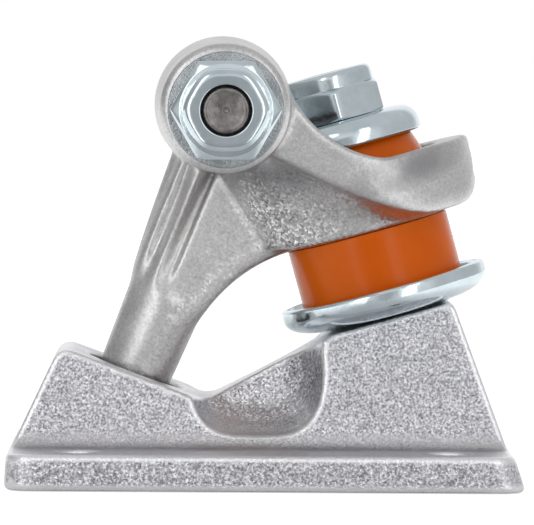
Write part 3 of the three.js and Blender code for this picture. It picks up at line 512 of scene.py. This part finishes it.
def eased(corners, closed):
    """The profile's points, each corner with an ease above zero rounded over that length on both sides."""
    line = []
    count = len(corners)
    for i, (radius, height, ease) in enumerate(corners):
        corner = Vector((radius, height))
        if ease == 0 or (not closed and i in (0, count - 1)):
            line.append(corner)
            continue
        before = Vector(corners[i - 1][:2])
        after = Vector(corners[(i + 1) % count][:2])
        start = corner + (before - corner).normalized() * ease
        end = corner + (after - corner).normalized() * ease
        for step in range(EASE_STEPS + 1):
            share = step / EASE_STEPS
            line.append(start.lerp(corner, share).lerp(corner.lerp(end, share), share))
    return line + line[:1] if closed else line


def divided(line, low, high, longest):
    """Cut the profile's steps between two heights into pieces no longer than asked."""
    made = line[:1]
    for start, end in zip(line, line[1:]):
        inside = low <= min(start.y, end.y) and max(start.y, end.y) <= high
        pieces = math.ceil((end - start).length / longest) if inside else 1
        made += [start.lerp(end, piece / pieces) for piece in range(1, pieces + 1)]
    return made


def plain(radius, height, angle):
    return radius


def turned(name, corners, place, form=plain, segments=SEGMENTS, closed=False, finer=()):
    """Sweep a profile; form changes each point's radius, and finer lists (low, high, longest step) ranges."""
    line = eased(corners, closed)
    for low, high, longest in finer:
        line = divided(line, low, high, longest)
    vertices = []
    for point in line:
        for i in range(segments):
            angle = i / segments * 2 * math.pi
            radius = form(point.x, point.y, angle)
            spot = Vector((radius * math.cos(angle) * MM, radius * math.sin(angle) * MM, point.y * MM))
            vertices.append(place @ spot)
    faces = []
    for row in range(len(line) - 1):
        for i in range(segments):
            beside = (i + 1) % segments
            low, high = row * segments, (row + 1) * segments
            faces.append((low + i, low + beside, high + beside, high + i))
    mesh = bpy.data.meshes.new(name)
    mesh.from_pydata(vertices, [], faces)
    build = bmesh.new()
    build.from_mesh(mesh)
    bmesh.ops.remove_doubles(build, verts=build.verts, dist=WELD_DISTANCE)
    bmesh.ops.recalc_face_normals(build, faces=build.faces)
    build.to_mesh(mesh)
    build.free()
    mesh.shade_smooth()
    mesh.set_sharp_from_angle(angle=SHARP_ANGLE)
    piece = bpy.data.objects.new(name, mesh)
    bpy.context.scene.collection.objects.link(piece)
    return piece


def fitted(piece, body, replaced, material=None):
    """Let a rigid piece ride on a body in place of a node, in that node's finish or a variant of it."""
    slot = SLOTS[replaced]
    piece.data.materials.append(material or MATERIALS[slot])
    flat = piece.modifiers.new("flat", "WEIGHTED_NORMAL")
    flat.keep_sharp = True
    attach(piece, body)
    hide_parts(replaced)


def soft_min(first, second, width):
    near = max(width - abs(first - second), 0) / width
    return min(first, second) - near * near * width / 4


def hexagonal(radius, angle, flats, turn=0.0):
    """A radius kept inside a hexagon whose flats face angle zero, with slightly rounded corners."""
    away = (angle - turn + math.pi / 6) % (math.pi / 3) - math.pi / 6
    return soft_min(radius, flats / 2 / math.cos(away), CORNER_SOFTNESS)


def corner_radius(flats, room):
    """Half the width across a hexagon's corners, with some room for their rounding."""
    return flats / math.sqrt(3) + room


def threaded(radius, height, angle, start):
    """A radius cut by a screw thread that fades in over its first turn."""
    across = (height / THREAD_PITCH - angle / (2 * math.pi)) % 1
    fade = min(max((abs(height) - start) / THREAD_PITCH, 0), 1)
    return radius - THREAD_DEPTH * fade * (1 - abs(2 * across - 1))


# How far the profiles' corners are eased
HAIR_EASE = 0.05
FINE_EASE = 0.1
SMALL_EASE = 0.2
EASE = 0.3


# Lock nuts: a chamfered hexagon under a round crown with a rolled lip over the nylon ring

NUT_CORNER_ROOM = 0.06
NUT_CHAMFER_SHARE = 0.62
NUT_FOOT_BEVEL = (0.5, 0.3)
NUT_SHOULDER = 0.3
NUT_BORE_ROOM = 0.15
NUT_STEP = 0.3
NECK_LENGTH = 0.1
GROOVE_DEPTH = 0.75
GROOVE_LENGTH = 1.7
LIP_THICKNESS = 0.5
LIP_OVERHANG = 0.8
LIP_EASE = 1.15
LOBES = 6
LOBE_DEPTH = 0.022


def lock_nut(name, body, place, turn, flats, hexagon, crown_radius, crown, thread):
    corner = corner_radius(flats, NUT_CORNER_ROOM)
    chamfer = (corner - flats / 2) * NUT_CHAMFER_SHARE
    shoulder = max(crown_radius, flats / 2 - NUT_SHOULDER)
    neck = hexagon + NECK_LENGTH
    top = hexagon + crown
    bore = thread + NUT_BORE_ROOM
    groove = bore + GROOVE_DEPTH
    mouth = bore - LIP_OVERHANG
    lip = top - LIP_THICKNESS
    inset, bevel = NUT_FOOT_BEVEL

    def form(radius, height, angle):
        if height > neck and radius > bore:
            return radius * (1 - LOBE_DEPTH * math.cos(LOBES * (angle - turn)))
        return hexagonal(radius, angle, flats, turn)

    corners = [
        (bore, 0, EASE), (corner - inset, 0, FINE_EASE), (corner, bevel, FINE_EASE),
        (corner, hexagon - chamfer, FINE_EASE), (shoulder, hexagon, HAIR_EASE), (crown_radius, neck, HAIR_EASE),
        (crown_radius, top, LIP_EASE), (mouth, top, SMALL_EASE), (mouth, lip, HAIR_EASE), (groove, lip, 0),
        (groove, lip - GROOVE_LENGTH, 0), (bore, lip - GROOVE_LENGTH, 0),
    ]
    finer = [(-1, top + 1, NUT_STEP)]
    fitted(turned(f"{name}_turned", corners, place, form, NUT_SEGMENTS, True, finer), body, name)


def speed_washer(name, place, base):
    """A flat washer stamped from sheet, a little rounder on the side that the punch entered."""
    under, over = base - SETTLE, base + SPEED_WASHER_SHEET
    corners = [
        (SPEED_WASHER_BORE, under, FINE_EASE), (SPEED_WASHER_RADIUS, under, 0.25),
        (SPEED_WASHER_RADIUS, over, EASE), (SPEED_WASHER_BORE, over, 0.12),
    ]
    fitted(turned(f"{name}_turned", corners, place, closed=True), "hanger", name, WASHER_ZINC)


CUP_STEPS = 14
CUP_BORE_ROOM = 0.3
CUP_FLAT_INSET = 2
CUP_WALL_SHARE = 0.55
CUP_SPREAD_SHARE = 0.3
CUP_EDGE_DROP_SHARE = 0.04
CUP_EDGE_EASE_SHARE = 0.28
CUP_BORE_EASE = 0.25


def cup_washer(name, base, way, settle, rim, flat, height, sheet):
    """A cup washer pressed from sheet, its dish opening up or down the kingpin."""
    rise = height - sheet
    bore = KINGPIN_RADIUS + CUP_BORE_ROOM
    lower = []
    upper = []
    for step in range(CUP_STEPS + 1):
        share = step / CUP_STEPS
        out, up = math.sin(share * math.pi / 2), 1 - math.cos(share * math.pi / 2)
        lower.append((flat + (rim - flat) * out, rise * up + sheet * share ** 3 * CUP_SPREAD_SHARE, 0))
        upper.append((flat + (rim - sheet * CUP_WALL_SHARE - flat) * out, sheet + rise * up, 0))
    lower[-1] = (*lower[-1][:2], EASE)
    edge = (rim, height - sheet * CUP_EDGE_DROP_SHARE, sheet * CUP_EDGE_EASE_SHARE)
    foot = [(bore, -settle, SMALL_EASE), (flat - CUP_FLAT_INSET, -settle, 0)]
    corners = [*foot, *lower, edge, *upper[::-1], (bore, sheet, CUP_BORE_EASE)]
    corners = [(radius, base + way * up, ease) for radius, up, ease in corners]
    fitted(turned(f"{name}_turned", corners, KINGPIN, segments=CUP_SEGMENTS, closed=True), "base", name)


HEAD_CORNER_ROOM = 0.05
HEAD_FACE_INSET = 0.2
HEAD_LOWER_BEVEL = 0.7
HEAD_UPPER_BEVEL = 0.3
HEAD_STEP = 0.4
HEAD_MARGIN = 0.01
THREAD_CORE = 4
KINGPIN_TIP_BEVEL = 1
KINGPIN_TIP_INSET = 0.9
KINGPIN_TIP_FLAT = 3.1
KINGPIN_TIP_DISH = 0.1


def kingpin():
    """A bolt with a hexagonal head, a thicker pressed neck and a threaded, bevelled tip."""
    corner = corner_radius(KINGPIN_HEAD_FLATS, HEAD_CORNER_ROOM)
    half = KINGPIN_HEAD_FLATS / 2
    taper = NECK_RADIUS - KINGPIN_RADIUS

    def form(radius, height, angle):
        if height < HEAD_TOP + HEAD_MARGIN:
            return hexagonal(radius, angle, KINGPIN_HEAD_FLATS)
        if height > KINGPIN_THREAD_START and radius > THREAD_CORE:
            return threaded(radius, height, angle, KINGPIN_THREAD_START)
        return radius

    corners = [
        (0, HEAD_BOTTOM, 0), (half - HEAD_FACE_INSET, HEAD_BOTTOM, EASE),
        (corner, HEAD_BOTTOM + HEAD_LOWER_BEVEL, FINE_EASE), (corner, HEAD_TOP - HEAD_UPPER_BEVEL, FINE_EASE),
        (half, HEAD_TOP, 0), (NECK_RADIUS, HEAD_TOP, 0), (NECK_RADIUS, NECK_TOP, 0),
        (KINGPIN_RADIUS, NECK_TOP + taper, 0), (KINGPIN_RADIUS, KINGPIN_THREAD_START, 0),
        (KINGPIN_RADIUS, KINGPIN_TOP - KINGPIN_TIP_BEVEL, 0),
        (KINGPIN_RADIUS - KINGPIN_TIP_INSET, KINGPIN_TOP, 0.25), (KINGPIN_TIP_FLAT, KINGPIN_TOP, 0),
        (0, KINGPIN_TOP - KINGPIN_TIP_DISH, 0),
    ]
    thread_end = KINGPIN_TOP - KINGPIN_TIP_INSET
    finer = [(HEAD_BOTTOM, HEAD_TOP, HEAD_STEP), (KINGPIN_THREAD_START, thread_end, THREAD_STEP)]
    fitted(turned("kingpin_turned", corners, KINGPIN, form, BOLT_SEGMENTS, finer=finer), "base", "kingpin")


# The axle's tip: (radius, depth below the end, ease), from its bevel to the centre mark
AXLE_TIP = [(AXLE_RADIUS, 1.2, 0), (2.8, 0, 0.2), (2.5, 0, 0.1), (2.2, 0.1, 0), (0.45, 0.12, 0.1), (0, 0.6, 0)]
AXLE_THREAD_CORE = 3.3
AXLE_THREAD_INSET = 0.5
AXLE_FINE_INSET = 1.1


def axle():
    """A rod threaded at both ends, its tips bevelled, each with a raised ring and a centre mark."""
    def form(radius, height, angle):
        on_thread = AXLE_THREAD_START < abs(height) < AXLE_HALF - AXLE_THREAD_INSET
        if on_thread and radius > AXLE_THREAD_CORE:
            return threaded(radius, height, angle, AXLE_THREAD_START)
        return radius

    upper = [(AXLE_RADIUS, AXLE_THREAD_START, 0)]
    upper += [(radius, AXLE_HALF - depth, ease) for radius, depth, ease in AXLE_TIP]
    corners = [(radius, -height, ease) for radius, height, ease in upper[::-1]] + upper
    thread = AXLE_HALF - AXLE_FINE_INSET
    finer = [(AXLE_THREAD_START, thread, THREAD_STEP), (-thread, -AXLE_THREAD_START, THREAD_STEP)]
    fitted(turned("axle_turned", corners, AXLE, form, finer=finer), "hanger", "axle")


# The pivot cup: height of the ball's middle, radii of socket, mouth and outside, height of its rim
BALL_HEIGHT = -6.4
SOCKET_RADIUS = 4.5
SOCKET_MOUTH = 6.1
SOCKET_STEPS = 12
PIVOT_CUP_RADIUS = 7.5
PIVOT_CUP_RIM = -0.8
PIVOT_CUP_FLOOR = 1.5


def pivot_cup():
    """A plastic thimble with a round socket for the hanger's nose."""
    underside = BALL_HEIGHT - SOCKET_RADIUS - PIVOT_CUP_FLOOR
    bowl = []
    for step in range(SOCKET_STEPS + 1):
        angle = step / SOCKET_STEPS * math.pi / 2
        bowl.append((SOCKET_RADIUS * math.cos(angle), BALL_HEIGHT - SOCKET_RADIUS * math.sin(angle), 0))
    corners = [
        (0, underside, 0), (PIVOT_CUP_RADIUS, underside, 0.5), (PIVOT_CUP_RADIUS, PIVOT_CUP_RIM, 0.4),
        (SOCKET_MOUTH, PIVOT_CUP_RIM, EASE), *bowl,
    ]
    fitted(turned("pivot_cup_moulded", corners, PIVOT), "base", "pivot_cup")


# Bushings: soft urethane rings swept about the kingpin

def bushing(name, corners):
    """A soft ring between two bodies, swept in urethane in place of its node."""
    finer = [(corners[0][1], TOP_WASHER_TOP, BUSHING_STEP)]
    piece = turned(f"{name}_moulded", corners, KINGPIN, segments=CUP_SEGMENTS, closed=True, finer=finer)
    piece.data.materials.append(MATERIALS["urethane"])
    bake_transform(piece)
    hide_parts(name)


def bushings():
    """The barrel below the ring and the cone above it, their bores a little wider at the ring."""
    low, high = WASHER_FLOOR + SEAT_GAP, RING_BOTTOM - SEAT_GAP
    corners = [
        (BUSHING_BORE, low, SMALL_EASE), (BUSHING_RADIUS, low, 0.8),
        (BUSHING_RADIUS, high, 0.22), (BARREL_HEAD_BORE, high, SMALL_EASE),
    ]
    bushing("bottom_bushing", corners)
    low, high = RING_SEAT + SEAT_GAP, TOP_WASHER_UNDERSIDE - SEAT_GAP
    corners = [
        (CONE_FOOT_BORE, low, SMALL_EASE), (BUSHING_RADIUS, low, 0.4),
        (CONE_HEAD_RADIUS, high, 0.5), (BUSHING_BORE, high, SMALL_EASE),
    ]
    bushing("top_bushing", corners)


def hardware():
    axle()
    kingpin()
    pivot_cup()
    cup_washer("bottom_washer", BOTTOM_WASHER_BASE, 1, SETTLE, **BOTTOM_CUP)
    cup_washer("top_washer", TOP_WASHER_TOP, -1, 0, **TOP_CUP)
    seat = KINGPIN @ Matrix.Translation((0, 0, (KINGPIN_NUT_BASE - SETTLE) * MM))
    lock_nut("kingpin_nut", "base", seat, KINGPIN_NUT_TURN, **KINGPIN_NUT)
    for side, place in AXLE_ENDS.items():
        for where, base in SPEED_WASHER_BASES.items():
            speed_washer(f"speed_washer_{where}_{side}", place, base)
        seat = place @ Matrix.Translation((0, 0, (AXLE_NUT_BASE - SETTLE) * MM))
        lock_nut(f"axle_nut_{side}", "hanger", seat, AXLE_NUT_TURN, **AXLE_NUT)


# Studio: lengths in metres, directions as parts of a unit vector

FLOOR_REACH = 3
FLOOR_NEAR_EDGE = -0.15
FLOOR_LEVEL = -0.0001
FLOOR_TONE = (0.8, 0.8, 0.8, 1)
FLOOR_ROUGHNESS = 0.9
FLOOR_GLOW = 0.62
GLOW_BEHIND_FADE = (0.02, 0.2)
GLOW_ASIDE_FADE = (0.03, 0.08)
WHITE = (1, 1, 1, 1)

LAMP_AIM = (0, 0, 0.035)
LAMP_ANGLE = math.radians(28)
LAMP_REACH = 0.85
LAMP_HEIGHT = 0.15
LAMP_WIDTH = 0.24
LAMP_LENGTH = 1.2
LAMPS = (("key", -1, 1.6), ("fill", 1, 1.2))

TENT_TINT = 1.02
TENT_SIDES = (0.36, 0.58)
TENT_SIDES_FADE = (-0.6, 0.6)

# Further walls of the tent: direction's axis, where each starts and is full, grey level
TENT_WALLS = (
    ("Y", (-0.4, -0.7), 0.8),
    ("Z", (0.4, 0.7), 0.62),
    ("Y", (-0.965, -0.985), 0.45),
    ("Z", (-0.08, -0.25), 0.38),
    ("Y", (0.68, 0.84), 1),
)


def camera():
    made = bpy.data.cameras.new("camera")
    made.sensor_fit = "HORIZONTAL"
    made.sensor_width = SENSOR_WIDTH
    made.lens = SENSOR_WIDTH * FOCAL_PIXELS / IMAGE_WIDTH
    made.clip_start = NEAREST_SEEN
    eye = bpy.data.objects.new("camera", made)
    bpy.context.scene.collection.objects.link(eye)
    right = (IMAGE_WIDTH / 2 - LEVEL_PIXEL.x) / FOCAL_PIXELS
    down = (IMAGE_HEIGHT / 2 - LEVEL_PIXEL.y) / FOCAL_PIXELS
    aim = Vector((right, 1, -down)).to_track_quat("-Z", "Y").to_matrix().to_4x4()
    eye.matrix_world = Matrix.Translation(CAMERA_PLACE) @ aim @ Matrix.Rotation(CAMERA_ROLL, 4, "Z")
    bpy.context.scene.camera = eye


def floor():
    """A wide white table that keeps the truck's shadow, and ends before the camera."""
    mesh = bpy.data.meshes.new("floor")
    reach, near = FLOOR_REACH, FLOOR_NEAR_EDGE
    outline = [(-reach, near), (reach, near), (reach, reach), (-reach, reach)]
    mesh.from_pydata([(x, y, FLOOR_LEVEL) for x, y in outline], [], [(0, 1, 2, 3)])
    ground = bpy.data.objects.new("floor", mesh)
    bpy.context.scene.collection.objects.link(ground)
    made, tree, shader, place = new_material("floor")
    shader.inputs["Base Color"].default_value = FLOOR_TONE
    shader.inputs["Roughness"].default_value = FLOOR_ROUGHNESS
    seen, mirrored = white_rays(tree)
    spot = separated(tree, place)
    behind = scaled(tree, spot["Y"], 0, 1, *GLOW_BEHIND_FADE)
    aside = scaled(tree, maths(tree, "ABSOLUTE", spot["X"]), 0, 1, *GLOW_ASIDE_FADE)
    far = maths(tree, "MULTIPLY", mirrored, maths(tree, "MAXIMUM", behind, aside))
    glow = scaled(tree, maths(tree, "MAXIMUM", seen, far), 0, FLOOR_GLOW)
    tree.links.new(glow, shader.inputs["Emission Strength"])
    shader.inputs["Emission Color"].default_value = WHITE
    mesh.materials.append(made)


def white_rays(tree):
    """Factors of the rays that find the floor white: straight ones, and mirrored or let through."""
    rays = node(tree, "ShaderNodeLightPath").outputs
    return rays["Is Camera Ray"], maths(tree, "MAXIMUM", rays["Is Glossy Ray"], rays["Is Transmission Ray"])


def area_light(name, side, radiance):
    """An upright strip to one side of the camera, aimed at the truck."""
    made = bpy.data.lights.new(name, "AREA")
    made.shape = "RECTANGLE"
    made.size = LAMP_WIDTH
    made.size_y = LAMP_LENGTH
    made.energy = radiance * math.pi * made.size * made.size_y
    lamp = bpy.data.objects.new(name, made)
    bpy.context.scene.collection.objects.link(lamp)
    lamp.location = (side * LAMP_REACH * math.sin(LAMP_ANGLE), -LAMP_REACH * math.cos(LAMP_ANGLE), LAMP_HEIGHT)
    lamp.rotation_euler = (Vector(LAMP_AIM) - lamp.location).to_track_quat("-Z", "Y").to_euler()


def grey(level):
    return (level, level, level * TENT_TINT, 1)


def world():
    """A light tent: white behind, bright round the camera, dark at it, grey to the sides and below."""
    made = bpy.data.worlds.new("studio")
    bpy.context.scene.world = made
    made.use_nodes = True
    tree = made.node_tree
    way = separated(tree, node(tree, "ShaderNodeTexCoord").outputs["Generated"])
    dim, bright = TENT_SIDES
    tone = mixed(tree, scaled(tree, way["X"], 0, 1, *TENT_SIDES_FADE), grey(dim), grey(bright))
    for axis, fade, level in TENT_WALLS:
        tone = mixed(tree, scaled(tree, way[axis], 0, 1, *fade), tone, grey(level))
    seen = node(tree, "ShaderNodeLightPath").outputs["Is Camera Ray"]
    background = tree.nodes["Background"]
    tree.links.new(mixed(tree, seen, tone, WHITE), background.inputs["Color"])
    background.inputs["Strength"].default_value = 1


def studio():
    camera()
    floor()
    world()
    for name, side, radiance in LAMPS:
        area_light(name, side, radiance)
    bpy.context.scene.view_settings.view_transform = "Standard"


dress_nodes()
for casting, easing_steps in EASING_STEPS.items():
    cast_skin(casting, easing_steps)
hardware()
bushings()
studio()
